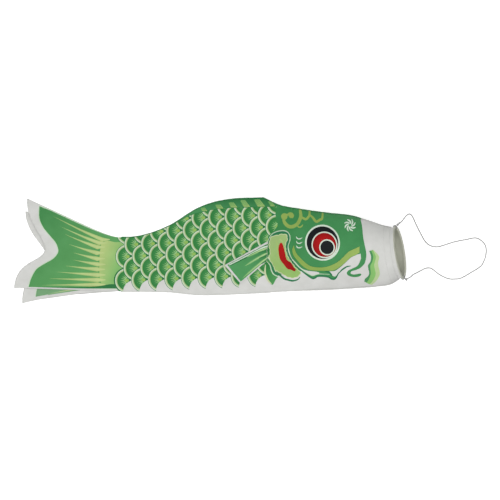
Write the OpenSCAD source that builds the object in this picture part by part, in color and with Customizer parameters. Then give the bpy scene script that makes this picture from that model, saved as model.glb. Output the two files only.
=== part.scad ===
// Carp streamer lying on its left side, with its bridle loop laid out in front of the mouth.
// +X runs towards the mouth, +Y towards the back of the fish, +Z up from the table.

/* [Mouth] */
// Diameter over the hem at the mouth
mouth_d = 95.4; // [92:0.2:98]
// Height of the hoop's lean from upright, towards the tail, in degrees
hoop_lean = 12; // [8:1:14]
// Turn of the hoop seen from above, in degrees
hoop_turn = 9; // [6:1:12]
// Diameter of the hoop wire
wire_d = 2; // [1.6:0.1:2.2]
// Length of the tube that joins the wire's two ends
joiner_l = 24; // [12:1:40]

/* [Cloth] */
// Thickness that stands for one layer of cloth
cloth_t = 0.8; // [0.6:0.1:1]
// Width and height of the turned seam along the back and the belly
seam_w = 1.6; // [1.2:0.1:1.8]
// Air left between a flap and the cloth beside it
flap_gap = 0.6; // [0.5:0.1:0.8]

/* [Tail] */
// Turn of the lower tail flap against the upper one, in degrees
tail_slip = 6.4; // [4:0.2:8]

/* [Pectoral fin] */
// Air between a fin and the side panel it lies on
fin_gap = 0.5; // [0.4:0.1:0.6]

/* [Bridle] */
// Diameter of the bridle cord
cord_d = 2; // [1.6:0.1:2]
// Diameter of the knots at the two ends of the bridle
knot_d = 4; // [3.6:0.1:4.4]

/* [Hidden] */

// Hem bead around the hoop: the cloth wraps the joining tube, which sits on the wire
tube_wall = 0.5;
tube_r = wire_d / 2 + tube_wall;
bead_r = tube_r + cloth_t;
ring_r = mouth_d / 2 - bead_r;
ring_centre = [338.6, -4, ring_r * cos(hoop_lean) + bead_r];
ring_back = [-sin(hoop_turn), cos(hoop_turn), 0];
ring_front = [cos(hoop_turn) * cos(hoop_lean), sin(hoop_turn) * cos(hoop_lean), sin(hoop_lean)];
hem_skirt = 4.5;
hem_gap = 0.3;

// Body cross sections from tail to head: place along X, back, belly, highest and lowest line
FULL_LENGTH = [
    [-161, 23, -74, 3.2, 0],
    [-138, 23.5, -74, 3.6, 0],
    [-115, 28, -74, 4, 0],
    [-75, 43, -75, 5, 0],
    [-20, 76, -80, 7, 0],
    [8, 86, -80, 8.5, 0.8],
    [35, 91, -79, 10, 1.4],
    [96, 94, -76, 16, 1.4],
    [121, 82, -74, 24, 1.4],
    [165, 73, -72, 42, 0.6],
    [216, 66, -70, 57, 0.6],
    [260, 61, -67, 67, 0.6],
    [295, 51, -64, 77, 0.6],
    [320, 43, -59, 86, 0.6]
];
mouth_end = ring_centre - (hem_skirt + hem_gap) * ring_front;
mouth_half = ring_r + cloth_t / 2;
mouth_station = [
    mouth_end[0],
    mouth_end[1] + mouth_half * cos(hoop_turn), mouth_end[1] - mouth_half * cos(hoop_turn),
    mouth_end[2] + mouth_half * cos(hoop_lean), mouth_end[2] - mouth_half * cos(hoop_lean)
];
STATIONS = concat(FULL_LENGTH, [mouth_station]);
stitch_station = FULL_LENGTH[len(FULL_LENGTH) - 1];
ARC_STEPS = 12;
puff_start = 120;

// Share of the way from flat cloth to the round mouth, at a place along the body
function opened(x) = min(1, max(0, (x - puff_start) / (mouth_station[0] - puff_start)));

// Rise of the upper panel's faces over the seam: where the tube is flat its cut edge lies on the seam
function upper_rise(half_h, inset, open, swell) =
    let(edge = (1 - open) * (cloth_t - inset))
    edge + (half_h - inset - edge) * swell;

// Point on the tube's wall: around = 0 at the back seam, 90 on top, 180 at the belly seam
function wall(st, around, inset, upper) =
    let(
        open = opened(st[0]),
        lean = tan(hoop_lean * open * open),
        turn = tan(hoop_turn * open * open),
        seam_z = (st[3] + st[4]) / 2,
        half_w = (st[1] - st[2]) / 2 - (upper ? open * inset : inset),
        half_h = (st[3] - st[4]) / 2,
        swell = abs(sin(around)),
        across = half_w * cos(around),
        rise = upper
            ? upper_rise(half_h, inset, open, pow(swell, 2 - open))
            : -(half_h - inset) * pow(swell, 0.8 + 0.2 * open)
    )
    [
        st[0] - turn * across - lean * rise,
        (st[1] + st[2]) / 2 + across - lean * turn * rise,
        seam_z + rise
    ];

// Closed section of one side panel: out along its outer face and back along its inner face
function panel_section(st, upper) =
    let(from = upper ? 0 : 180)
    concat(
        [for (k = [0 : ARC_STEPS]) wall(st, from + k * 180 / ARC_STEPS, 0, upper)],
        [for (k = [ARC_STEPS : -1 : 0]) wall(st, from + k * 180 / ARC_STEPS, cloth_t, upper)]
    );

// Solid through a row of matching sections
module loft(sections) {
    n = len(sections);
    m = len(sections[0]);
    sides = [
        for (i = [0 : n - 2], j = [0 : m - 1])
            let(a = i * m + j, b = i * m + (j + 1) % m)
            each [[a, b, b + m], [a, b + m, a + m]]
    ];
    caps = [
        for (j = [0 : m / 2 - 2])
            let(a = j, b = j + 1, c = m - 2 - j, d = m - 1 - j, far = (n - 1) * m)
            each [[a, c, b], [a, d, c], [a + far, b + far, c + far], [a + far, c + far, d + far]]
    ];
    polyhedron(points = [for (s = sections) each s], faces = concat(sides, caps), convexity = 6);
}

// Turned seam that joins the two side panels edge to edge, on the back (0) or the belly (180)
module seam(around) {
    out = around == 0 ? seam_w : -seam_w;
    loft([
        for (st = STATIONS)
            let(edge = wall(st, around, 0, false), h = seam_w / 2)
            around == 0
            ? [edge + [0, 0, -h], edge + [0, out, -h], edge + [0, out, h], edge + [0, 0, h]]
            : [edge + [0, 0, h], edge + [0, out, h], edge + [0, out, -h], edge + [0, 0, -h]]
    ]);
}

module right_side_panel() {
    color("limegreen") loft([for (st = STATIONS) panel_section(st, true)]);
}

module left_side_panel() {
    color("limegreen") loft([for (st = STATIONS) panel_section(st, false)]);
}

module back_seam() {
    color("darkgreen") seam(0);
}

module belly_seam() {
    color("whitesmoke") seam(180);
}

// Tail flap: a notched trailing edge between two tips
tail_root = FULL_LENGTH[0];
flap_root_x = tail_root[0] - 2 * flap_gap;
upper_tip = [-329, 93];
notch = [-297, 3];
lower_tip = [-352.5, -68];
slip_pivot = [-97.5, 47];
CURVE_STEPS = 8;

// Curve between two points that leaves and arrives in the direction of its two pulls
function curve(from, pull_a, pull_b, to) = [
    for (k = [0 : CURVE_STEPS])
        let(t = k / CURVE_STEPS, u = 1 - t)
        u * u * u * from + 3 * u * u * t * pull_a + 3 * u * t * t * pull_b + t * t * t * to
];

// The slip turns the flap about a point on the back, and fades out towards its root
function slipped(p, angle) =
    let(share = (flap_root_x - p[0]) / (flap_root_x - lower_tip[0]), a = angle * share, v = p - slip_pivot)
    slip_pivot + [v[0] * cos(a) - v[1] * sin(a), v[0] * sin(a) + v[1] * cos(a)];

function flap_outline() = concat(
    curve([flap_root_x, tail_root[1]], [-185, 24], [-210, 39], upper_tip),
    curve(upper_tip, [-332, 52], [-300, 26], notch),
    curve(notch, [-297, -22], [-350, -15], lower_tip),
    [[flap_root_x, tail_root[2]]]
);

module tail_flap(lift, angle) {
    translate([0, 0, lift])
        linear_extrude(cloth_t)
            polygon([for (p = flap_outline()) slipped(p, angle)]);
}

module right_tail_flap() {
    color("lightgreen") tail_flap(cloth_t + 2 * flap_gap, 0);
}

module left_tail_flap() {
    color("palegreen") tail_flap(0, tail_slip);
}

// Pectoral fins: four corners, sewn to the side panel along the edge between the first and the last
FIN_CORNERS = [[104, 16], [26, -27], [55, -60], [104, -18]];
FIN_STEPS = 4;

// Station at any place along the flat stretch of the body
function station_at(x) = [x, for (c = [1 : 4]) lookup(x, [for (st = FULL_LENGTH) [st[0], st[c]]])];

// Height of the upper panel's outer face over a point of the table, behind the puffed head
function top_z(p) =
    let(st = station_at(p[0]), v = (2 * p[1] - st[1] - st[2]) / (st[1] - st[2]), open = opened(p[0]))
    (st[3] + st[4]) / 2 + upper_rise((st[3] - st[4]) / 2, 0, open, pow(1 - v * v, 1 - open / 2));

function fin_point(along, across) =
    (1 - along) * ((1 - across) * FIN_CORNERS[0] + across * FIN_CORNERS[3])
    + along * ((1 - across) * FIN_CORNERS[1] + across * FIN_CORNERS[2]);

function fin_row(along, lift) = [
    for (k = [0 : FIN_STEPS])
        let(p = fin_point(along, k / FIN_STEPS))
        [p[0], p[1], top_z(p) + lift]
];

function reversed(list) = [for (k = [len(list) - 1 : -1 : 0]) list[k]];

module right_pectoral_fin() {
    color("mediumseagreen")
        loft([
            for (k = [0 : FIN_STEPS])
                concat(
                    reversed(fin_row(k / FIN_STEPS, fin_gap)),
                    fin_row(k / FIN_STEPS, fin_gap + cloth_t)
                )
        ]);
}

module left_pectoral_fin() {
    color("mediumseagreen") linear_extrude(cloth_t) polygon(FIN_CORNERS);
}

// Rows of thread just ahead of each fin's sewn edge
thread_w = 1.2;
thread_h = 0.4;
thread_gap = 0.1;
thread_x = FIN_CORNERS[0][0] + 1;

module right_fin_stitching() {
    color("white")
        loft([
            for (k = [0 : FIN_STEPS])
                let(
                    y = fin_point(0, k / FIN_STEPS)[1],
                    a = [thread_x, y, top_z([thread_x, y]) + thread_gap],
                    b = [thread_x + thread_w, y, top_z([thread_x + thread_w, y]) + thread_gap],
                    up = [0, 0, thread_h]
                )
                [a, a + up, b + up, b]
        ]);
}

module left_fin_stitching() {
    root_l = FIN_CORNERS[0][1] - FIN_CORNERS[3][1];
    color("white")
        translate([thread_x, FIN_CORNERS[3][1], station_at(thread_x)[4] - thread_h])
            cube([thread_w, root_l, thread_h]);
}

// Thread round the upper and the lower panel where the hem is closed, up to the seams on both sides
thread_lift = 0.7;
seam_skip = 8;

module hem_stitching() {
    half_l = thread_w / 2;
    color("white")
        for (upper = [true, false])
            loft([
                for (k = [0 : ARC_STEPS])
                    let(
                        around = (upper ? 0 : 180) + seam_skip + k * (180 - 2 * seam_skip) / ARC_STEPS,
                        inner = wall(stitch_station, around, -thread_lift, upper),
                        outer = wall(stitch_station, around, -thread_lift - thread_h, upper),
                        along = [half_l, 0, 0]
                    )
                    [inner - along, outer - along, outer + along, inner + along]
            ]);
}

// Places its children, drawn about +Z, with their axis along the mouth's own axis
module at_mouth() {
    translate(ring_centre)
        rotate([0, 0, hoop_turn])
            rotate([0, 90 - hoop_lean, 0])
                children();
}

module mouth_hem() {
    color("gainsboro")
        at_mouth()
            rotate_extrude($fn = 96)
                difference() {
                    union() {
                        translate([ring_r, 0]) circle(r = bead_r, $fn = 32);
                        translate([ring_r - cloth_t / 2, -hem_skirt]) square([cloth_t, hem_skirt]);
                    }
                    translate([ring_r, 0]) circle(r = tube_r, $fn = 32);
                }
}

module hoop_section(r) {
    translate([ring_r, 0]) circle(r = r, $fn = 32);
}

module mouth_hoop() {
    color("silver") at_mouth() rotate_extrude($fn = 96) hoop_section(wire_d / 2);
}

module hoop_joining_tube() {
    sweep = joiner_l / ring_r * 180 / PI;
    color("dimgray")
        at_mouth()
            rotate([0, 0, -sweep / 2])
                rotate_extrude(angle = sweep, $fn = 96)
                    difference() {
                        hoop_section(tube_r);
                        hoop_section(wire_d / 2);
                    }
}

// Cord loop tied through the hem round the hoop; side is 1 at the back and -1 at the belly
module tie_loop(side) {
    loop_r = bead_r + cord_d / 2;
    color("white")
        translate(ring_centre + side * ring_r * ring_back)
            rotate([0, 0, hoop_turn])
                rotate([0, -hoop_lean, 0])
                    rotate_extrude($fn = 48) translate([loop_r, 0]) circle(r = cord_d / 2, $fn = 24);
}

module back_tie_loop() {
    tie_loop(1);
}

module belly_tie_loop() {
    tie_loop(-1);
}

// The two knots sit on the line that the bridle swings about
knot_out = ring_r + 4;
knot_ahead = 5.4;

function knot_place(side) = ring_centre + side * knot_out * ring_back + knot_ahead * ring_front;

module back_knot() {
    color("white") translate(knot_place(1)) sphere(d = knot_d, $fn = 32);
}

module belly_knot() {
    color("white") translate(knot_place(-1)) sphere(d = knot_d, $fn = 32);
}

// Route of the bridle cord over the table, between the two knots
ROUTE = [
    [342, 50, 45], [346, 54, 37], [350, 59, 24], [354, 63, 11],
    [359, 65, 3], [364, 61, 1.2], [370, 48, 1], [378, 32, 1],
    [387, 16, 1], [397, 8, 1], [409, 6, 1], [421, 9, 1],
    [440, 15, 1], [460, 19, 1], [477, 22, 1], [487, 18, 1],
    [494, 11, 1], [497, 1, 1], [496, -10, 1], [493, -19, 1],
    [487, -29, 1], [470, -40, 1], [452, -50, 1], [440, -52, 1],
    [428, -51, 1], [413, -44, 1], [400, -34, 1], [394, -32, 1],
    [387, -33, 1.2], [379, -37, 2], [371, -41, 7], [365, -44, 17],
    [360, -48, 31]
];
ROUTE_STEPS = 2;
CORD_SIDES = 8;
route_full = concat([knot_place(1)], ROUTE, [knot_place(-1)]);

// Smooth curve through the route's own points
function through(p, i, t) =
    let(
        n = len(p),
        p0 = p[max(0, i - 1)], p1 = p[i], p2 = p[i + 1], p3 = p[min(n - 1, i + 2)],
        m1 = (p2 - p0) / 2, m2 = (p3 - p1) / 2
    )
    (2 * t * t * t - 3 * t * t + 1) * p1 + (t * t * t - 2 * t * t + t) * m1
    + (3 * t * t - 2 * t * t * t) * p2 + (t * t * t - t * t) * m2;

cord_path = concat(
    [
        for (i = [0 : len(route_full) - 2], k = [0 : ROUTE_STEPS - 1])
            through(route_full, i, k / ROUTE_STEPS)
    ],
    [route_full[len(route_full) - 1]]
);

function unit(v) = v / norm(v);

function cord_section(i) =
    let(
        n = len(cord_path),
        ahead = unit(cord_path[min(n - 1, i + 1)] - cord_path[max(0, i - 1)]),
        side = unit(cross(ahead, [0, 0, 1])),
        up = cross(side, ahead),
        r = cord_d / 2
    )
    [
        for (k = [0 : CORD_SIDES - 1])
            let(a = (k + 0.5) * 360 / CORD_SIDES)
            cord_path[i] + r * cos(a) * side + r * sin(a) * up
    ];

module bridle_cord() {
    color("white") loft([for (i = [0 : len(cord_path) - 1]) cord_section(i)]);
}

right_side_panel();
left_side_panel();
right_tail_flap();
left_tail_flap();
right_pectoral_fin();
left_pectoral_fin();
back_seam();
belly_seam();
mouth_hem();
mouth_hoop();
hoop_joining_tube();
hem_stitching();
right_fin_stitching();
left_fin_stitching();
back_tie_loop();
belly_tie_loop();
bridle_cord();
back_knot();
belly_knot();
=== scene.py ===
from math import cos, hypot, pi, radians, sin

import bpy
import numpy as np
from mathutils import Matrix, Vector
from mathutils.geometry import delaunay_2d_cdt


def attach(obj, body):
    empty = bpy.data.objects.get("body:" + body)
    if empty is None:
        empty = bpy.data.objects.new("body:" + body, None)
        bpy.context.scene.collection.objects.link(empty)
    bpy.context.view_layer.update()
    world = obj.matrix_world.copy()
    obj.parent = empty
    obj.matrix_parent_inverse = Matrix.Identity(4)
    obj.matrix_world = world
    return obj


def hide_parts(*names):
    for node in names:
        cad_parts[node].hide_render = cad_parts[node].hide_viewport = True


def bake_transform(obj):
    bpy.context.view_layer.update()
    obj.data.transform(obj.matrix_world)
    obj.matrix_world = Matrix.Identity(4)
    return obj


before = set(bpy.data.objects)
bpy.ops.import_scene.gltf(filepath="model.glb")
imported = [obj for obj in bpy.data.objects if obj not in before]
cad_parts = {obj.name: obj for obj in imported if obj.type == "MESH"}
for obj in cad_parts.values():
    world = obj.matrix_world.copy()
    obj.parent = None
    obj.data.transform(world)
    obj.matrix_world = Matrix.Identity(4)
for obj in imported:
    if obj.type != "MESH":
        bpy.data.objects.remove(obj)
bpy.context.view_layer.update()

# A carp streamer of printed polyester lying on its left side. Shapes are described in millimetres in
# the fish's own frame (s or x towards the mouth, y towards the back, z up) and made in metres. The
# camera, the lights and the floor are in metres.
MM = 0.001

# ---- camera

CAMERA_HEIGHT = 9.0
VIEW_WIDTH = 0.9
VIEW_CENTRE = (0.0719, 0.0003)
SENSOR_WIDTH = 36
CLIP_AT_HEIGHTS = 4


def add_camera():
    data = bpy.data.cameras.new("camera_above")
    data.sensor_width = SENSOR_WIDTH
    data.lens = SENSOR_WIDTH * CAMERA_HEIGHT / VIEW_WIDTH
    data.clip_end = CLIP_AT_HEIGHTS * CAMERA_HEIGHT
    camera = bpy.data.objects.new("camera_above", data)
    bpy.context.collection.objects.link(camera)
    camera.location = (*VIEW_CENTRE, CAMERA_HEIGHT)
    bpy.context.scene.camera = camera


add_camera()

# ---- curves and meshes

CLOTH_T = 0.3


def smooth_line(points, steps=4, closed=False):
    """Smooth curve through points of two or three numbers."""
    p = [np.array(q, float) for q in points]
    n = len(p)
    line = []
    for i in range(n if closed else n - 1):
        b, c = p[i], p[(i + 1) % n]
        a = p[i - 1] if closed or i else b
        d = p[(i + 2) % n] if closed or i + 2 < n else c
        for k in range(steps):
            t = k / steps
            line.append(0.5 * (2 * b + (c - a) * t + (2 * a - 5 * b + 4 * c - d) * t**2
                               + (3 * b - a - 3 * c + d) * t**3))
    if not closed:
        line.append(p[-1])
    return [tuple(float(x) for x in q) for q in line]


def bezier(a, pull_a, pull_b, b, steps=16):
    """Curve between two points that leaves and arrives in the direction of its two pulls."""
    p = [np.array(q, float) for q in (a, pull_a, pull_b, b)]
    line = []
    for k in range(steps + 1):
        t = k / steps
        u = 1 - t
        line.append(tuple(u**3 * p[0] + 3 * u * u * t * p[1] + 3 * u * t * t * p[2] + t**3 * p[3]))
    return line


def add_mesh(name, points, faces, uv):
    """Smooth mesh object from points in millimetres; uv is one pair per point."""
    mesh = bpy.data.meshes.new(name)
    mesh.from_pydata([tuple(MM * x for x in p) for p in points], [], faces)
    mesh.polygons.foreach_set("use_smooth", [True] * len(mesh.polygons))
    corners = np.zeros(len(mesh.loops), int)
    mesh.loops.foreach_get("vertex_index", corners)
    layer = mesh.uv_layers.new(name="cloth")
    layer.data.foreach_set("uv", (np.array(uv)[corners] * MM).ravel())
    obj = bpy.data.objects.new(name, mesh)
    bpy.context.collection.objects.link(obj)
    return obj


def thicken(obj, inner_slot=0):
    """Gives cloth its thickness on the side that its faces turn away from."""
    solid = obj.modifiers.new("thickness", "SOLIDIFY")
    solid.thickness = CLOTH_T * MM
    solid.offset = -1
    solid.material_offset = inner_slot
    solid.material_offset_rim = 0
    with bpy.context.temp_override(object=obj):
        bpy.ops.object.modifier_apply(modifier=solid.name)


def sweep_frames(path, closed):
    """Direction and two square axes at each point of a path, turned as little as possible along it."""
    n = len(path)
    frames = []
    side = None
    for i in range(n):
        ahead = Vector(path[(i + 1) % n] if closed else path[min(n - 1, i + 1)])
        behind = Vector(path[i - 1] if closed or i else path[0])
        along = (ahead - behind).normalized()
        if side is None:
            side = along.orthogonal().normalized()
        side = (side - along * side.dot(along)).normalized()
        frames.append((along, side, along.cross(side)))
    return frames


def grid_faces(rows, columns, rows_closed=False, columns_closed=False):
    """Faces between the points of a grid, row by row; a closed grid joins its last line to its first."""
    faces = []
    for i in range(rows if rows_closed else rows - 1):
        a, b = i * columns, (i + 1) % rows * columns
        for k in range(columns if columns_closed else columns - 1):
            after = (k + 1) % columns
            faces.append((a + k, a + after, b + after, b + k))
    return faces


def tube(path, radius, sides, closed=False, lobes=0, pitch=1.0, relief=0.0, taper=0.0):
    """Points, faces and uv of a tube along a path. Lobes that turn once in a pitch make it a laid cord."""
    points, uv = [], []
    n = len(path)
    travelled = 0.0
    for i, (along, side, up) in enumerate(sweep_frames(path, closed)):
        if i:
            travelled += (Vector(path[i]) - Vector(path[i - 1])).length
        at_end = not closed and i in (0, n - 1)
        size = radius * (1 - taper) if at_end else radius
        for k in range(sides):
            a = 2 * pi * k / sides
            lobe = abs(cos(lobes / 2 * (a - 2 * pi * travelled / pitch))) if lobes else 1
            r = size * (1 - relief + relief * lobe)
            points.append(Vector(path[i]) + side * (r * cos(a)) + up * (r * sin(a)))
            uv.append((travelled, k * 2 * pi * radius / sides))
    faces = grid_faces(n, sides, rows_closed=closed, columns_closed=True)
    if not closed:
        faces += [tuple(range(sides))[::-1], tuple(range((n - 1) * sides, n * sides))]
    return points, faces, uv


def joined(parts):
    """One list of points, faces and uv from several."""
    points, faces, uv = [], [], []
    for p, f, t in parts:
        start = len(points)
        points += p
        faces += [tuple(i + start for i in face) for face in f]
        uv += t
    return points, faces, uv


# ---- hoop and bridle

HOOP_TURN = radians(9)
HOOP_LEAN = radians(12)
HOOP_R = 45.4
BEAD_R = 2.3
HOOP_CENTRE = Vector((338.6, -4, HOOP_R * cos(HOOP_LEAN) + BEAD_R))
HOOP_BACK = Vector((-sin(HOOP_TURN), cos(HOOP_TURN), 0))
HOOP_FRONT = Vector((cos(HOOP_TURN) * cos(HOOP_LEAN), sin(HOOP_TURN) * cos(HOOP_LEAN),
                     sin(HOOP_LEAN)))
HOOP_TOP = HOOP_FRONT.cross(HOOP_BACK)
KNOT_OUT = HOOP_R + 4
KNOT_AHEAD = 5.4
CORD_R = 1.0
STRANDS = 3
STRAND_PITCH = 7.0
STRAND_RELIEF = 0.2
CORD_SIDES = 18
ROUTE_STEPS = 12


def knot_place(side):
    """Middle of the knot at the back (side 1) or at the belly (side -1)."""
    return HOOP_CENTRE + side * KNOT_OUT * HOOP_BACK + KNOT_AHEAD * HOOP_FRONT


# The bridle's route over the table between its two knots
ROUTE = [
    (342, 50, 45), (346, 54, 37), (350, 59, 24), (354, 63, 11),
    (359, 65, 3), (364, 61, 1.2), (370, 48, 1), (378, 32, 1),
    (387, 16, 1), (397, 8, 1), (409, 6, 1), (421, 9, 1),
    (440, 15, 1), (460, 19, 1), (477, 22, 1), (487, 18, 1),
    (494, 11, 1), (497, 1, 1), (496, -10, 1), (493, -19, 1),
    (487, -29, 1), (470, -40, 1), (452, -50, 1), (440, -52, 1),
    (428, -51, 1), (413, -44, 1), (400, -34, 1), (394, -32, 1),
    (387, -33, 1.2), (379, -37, 2), (371, -41, 7), (365, -44, 17),
    (360, -48, 31),
]
bridle_route = [tuple(knot_place(1))] + ROUTE + [tuple(knot_place(-1))]


def path_length(path):
    return sum((Vector(b) - Vector(a)).length for a, b in zip(path, path[1:]))


def cord_tube(path, closed=False):
    return tube(path, CORD_R, sides=CORD_SIDES, closed=closed,
                lobes=STRANDS, pitch=STRAND_PITCH, relief=STRAND_RELIEF)


KNOT_WRAPS = 2.2
KNOT_STEPS = 40
KNOT_WRAP_R = 1.2
KNOT_LENGTH = 2.2
KNOT_TAIL = (1.5, 4, 1.5)


def add_knot(name, side, next_point):
    """Overhand knot: wraps of the cord round itself, and a short cut end."""
    place = knot_place(side)
    along = (Vector(next_point) - place).normalized()
    out = along.orthogonal().normalized()
    up = along.cross(out)
    coil = []
    for k in range(KNOT_STEPS + 1):
        turn = KNOT_WRAPS * 2 * pi * k / KNOT_STEPS
        wrap = out * (KNOT_WRAP_R * cos(turn)) + up * (KNOT_WRAP_R * sin(turn))
        coil.append(tuple(place + wrap + along * (KNOT_LENGTH * (k / KNOT_STEPS - 0.5))))
    tail = Vector((KNOT_TAIL[0], side * KNOT_TAIL[1], KNOT_TAIL[2]))
    end = [tuple(Vector(coil[-1]) + tail * t) for t in (0.3, 0.6, 0.85, 1.0)]
    core = [tuple(place + along * t) for t in (-1.0, 0, 1.0, 2.0)]
    return add_mesh(name, *joined([cord_tube(coil + end), cord_tube(core)]))


bridle_line = smooth_line(bridle_route, steps=ROUTE_STEPS)
bridle = add_mesh("bridle_line", *cord_tube(bridle_line))
knots = [add_knot("back_knot_tied", 1, ROUTE[0]), add_knot("belly_knot_tied", -1, ROUTE[-1])]
MM * path_length(bridle_line)
[[MM * x for x in p] for p in bridle_line]

# ---- shape of the cloth

# Stations of the sewn tube: place, back edge, belly edge, highest and lowest line
STATIONS = np.array([
    (-161, 23, -74, 3.2, 0), (-138, 23.5, -74, 3.6, 0), (-115, 28, -74, 4, 0), (-75, 43, -75, 5, 0),
    (-20, 76, -80, 7, 0), (8, 86, -80, 8.5, 0.8), (35, 91, -79, 10, 1.4), (92, 93.8, -76.2, 15.6, 1.4),
    (96, 94, -76, 16, 1.4), (100, 92.1, -75.7, 17.3, 1.4), (121, 82, -74, 24, 1.4), (165, 73, -72, 42, 0.6),
    (216, 66, -70, 57, 0.6), (260, 61, -67, 67, 0.6), (295, 51, -64, 77, 0.6), (320, 43, -59, 86, 0.6),
    (334, 40.6, -49.9, 90.5, 1),
])
BACK, BELLY, CROWN, FLOOR = 1, 2, 3, 4
TUBE_START = STATIONS[0][0]
TUBE_END = STATIONS[-1][0]
MOUTH_STEPS = 40
PUFF_START = 120
EDGE_RISE = 0.4
LOWER_FULLNESS = 0.8
FLAP_TOP = 2.8
FLAP_FLOOR = 0.3
TAIL_SLIP = radians(6.4)
SLIP_PIVOT = np.array((-97.5, 47))
TAIL_END = -352.5
# Where the tube's cloth goes over into the flat flap, where the flap's own folds fade out, and the
# collar that the hoop keeps nearly free of creases
FLAP_ROOT = (-182, -150)
FOLDS_FADE = (-250, -165)
COLLAR = (300, 330)


def profile(s, column):
    """One line of the stations at any place, as a smooth curve through them."""
    x, y = STATIONS[:, 0], STATIONS[:, column]
    slope = np.gradient(y, x)
    s = np.clip(s, x[0], x[-1])
    i = np.clip(np.searchsorted(x, s) - 1, 0, len(x) - 2)
    h = x[i + 1] - x[i]
    t = (s - x[i]) / h
    return ((2 * t**3 - 3 * t**2 + 1) * y[i] + (t**3 - 2 * t**2 + t) * h * slope[i]
            + (3 * t**2 - 2 * t**3) * y[i + 1] + (t**3 - t**2) * h * slope[i + 1])


def smoothstep(low, high, x):
    t = np.clip((x - low) / (high - low), 0, 1)
    return t * t * (3 - 2 * t)


def opened(s):
    """Share of the way from flat cloth to the round mouth."""
    return np.clip((s - PUFF_START) / (TUBE_END - PUFF_START), 0, 1)


def wall(s, v, side, inset=0.0):
    """Points of the tube: v is -1 at the belly seam and 1 at the back seam; side is 1 above, -1 below."""
    s, v = np.asarray(s, float), np.clip(np.asarray(v, float), -1, 1)
    back, belly, crown, floor = (profile(s, column) for column in (BACK, BELLY, CROWN, FLOOR))
    floor = np.maximum(floor, 0)
    open_share = opened(s)
    lean = np.tan(HOOP_LEAN * open_share**2)
    turn = np.tan(HOOP_TURN * open_share**2)
    across = ((back - belly) / 2 - inset) * v
    half_h = (crown - floor) / 2 - inset
    swell = np.sqrt(np.clip(1 - v**2, 0, 1))
    if side > 0:
        edge = (1 - open_share) * EDGE_RISE
        rise = edge + (half_h - edge) * swell ** (2 - open_share)
    else:
        rise = -half_h * swell ** (LOWER_FULLNESS + (1 - LOWER_FULLNESS) * open_share)
    return np.stack([
        s - turn * across - lean * rise,
        (back + belly) / 2 + across - lean * turn * rise,
        (crown + floor) / 2 + rise,
    ], axis=-1)


# Soft creases of the upper cloth: two ends, height and half width
CREASES = [
    ((300, 30), (235, 52), 1.2, 7), ((306, -30), (240, -48), 1.3, 8), ((312, 8), (262, 16), 0.8, 6),
    ((150, -58), (60, -66), 1.4, 7), ((120, 70), (60, 60), 1.2, 9), ((40, 60), (-60, 30), 1.3, 10),
    ((20, -55), (-90, -62), 1.2, 8), ((-60, 10), (-150, -6), 1.2, 10), ((-80, -40), (-170, -46), 1.0, 8),
    ((333, 44), (322, 2), -1.8, 3.2), ((170, 45), (110, 20), 1.3, 9), ((-10, 5), (60, 40), -1.0, 12),
    ((200, -50), (140, -35), -0.9, 9),
]
CREASE_DEPTH = 1.5
CREASE_FADE = 0.42
# Folds that run out over the tail flap
TAIL_FOLDS = [
    ((-175, 5), (-325, 74), 2.0, 9), ((-178, -10), (-300, 20), -1.2, 10),
    ((-175, -28), (-320, -42), 2.2, 12), ((-200, -55), (-340, -60), 1.4, 8),
    ((-215, 30), (-300, 60), -0.8, 8),
]


def creased(s, y, creases):
    """Height of a set of creases; each one fades out at its two ends."""
    height = np.zeros_like(s)
    for (s0, y0), (s1, y1), rise, half_w in creases:
        length = hypot(s1 - s0, y1 - y0)
        along = ((s - s0) * (s1 - s0) + (y - y0) * (y1 - y0)) / length**2
        off = ((s - s0) * (y1 - y0) - (y - y0) * (s1 - s0)) / length
        height += rise * np.exp(-(off / half_w) ** 2) * np.exp(-((along - 0.5) / CREASE_FADE) ** 4)
    return height


def rippled(s, y):
    """Gentle unevenness of cloth that has been folded and handled."""
    return (0.35 * np.sin(s / 23 + y / 31) * np.sin(y / 17 - s / 60)
            + 0.2 * np.sin(s / 9.5 - y / 14) * np.sin(y / 11 + s / 37))


def slipped(x, y):
    """Turn of the lower flap about a point on the back, which fades out towards its root."""
    share = np.clip((TUBE_START - x) / (TUBE_START - TAIL_END), 0, 1)
    a = TAIL_SLIP * share
    dx, dy = x - SLIP_PIVOT[0], y - SLIP_PIVOT[1]
    return SLIP_PIVOT[0] + dx * np.cos(a) - dy * np.sin(a), SLIP_PIVOT[1] + dx * np.sin(a) + dy * np.cos(a)


def seam_to_seam(s, y):
    """How far across the cloth a place is, from -1 at the belly seam to 1 at the back seam."""
    back, belly = profile(s, BACK), profile(s, BELLY)
    return np.clip((2 * y - back - belly) / (back - belly), -1, 1)


def side_cloth_place(s, y, side):
    """Place in space of points of a side cloth: a half of the tube, and the tail flap behind it."""
    v = seam_to_seam(s, y)
    place = wall(np.maximum(s, TUBE_START), v, side)
    tail = 1 - smoothstep(*FLAP_ROOT, s)
    free = 1 - smoothstep(*FOLDS_FADE, s)
    if side > 0:
        flap = FLAP_TOP + free * (1.2 + creased(s, y, TAIL_FOLDS) + rippled(s, y))
        middle = np.sqrt(np.clip(1 - v**2, 0, 1))
        calm = 1 - 0.6 * smoothstep(*COLLAR, s)
        uneven = (CREASE_DEPTH * creased(s, y, CREASES) + rippled(s, y)) * middle * calm
        place[..., 2] += uneven * (1 - tail)
    else:
        flap = FLAP_FLOOR + free * np.maximum(0, 0.4 + 0.5 * rippled(s, y))
    place[..., 2] += (flap - place[..., 2]) * tail
    past = s < TUBE_START
    flap_x, flap_y = (s, y) if side > 0 else slipped(s, y)
    place[..., 0] = np.where(past, flap_x, place[..., 0])
    place[..., 1] = np.where(past, flap_y, place[..., 1])
    return place


# ---- print: inks and paints

# How much brighter than its own colour the studio's light makes cloth that faces up
STUDIO_LIGHT = 1.25


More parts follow.
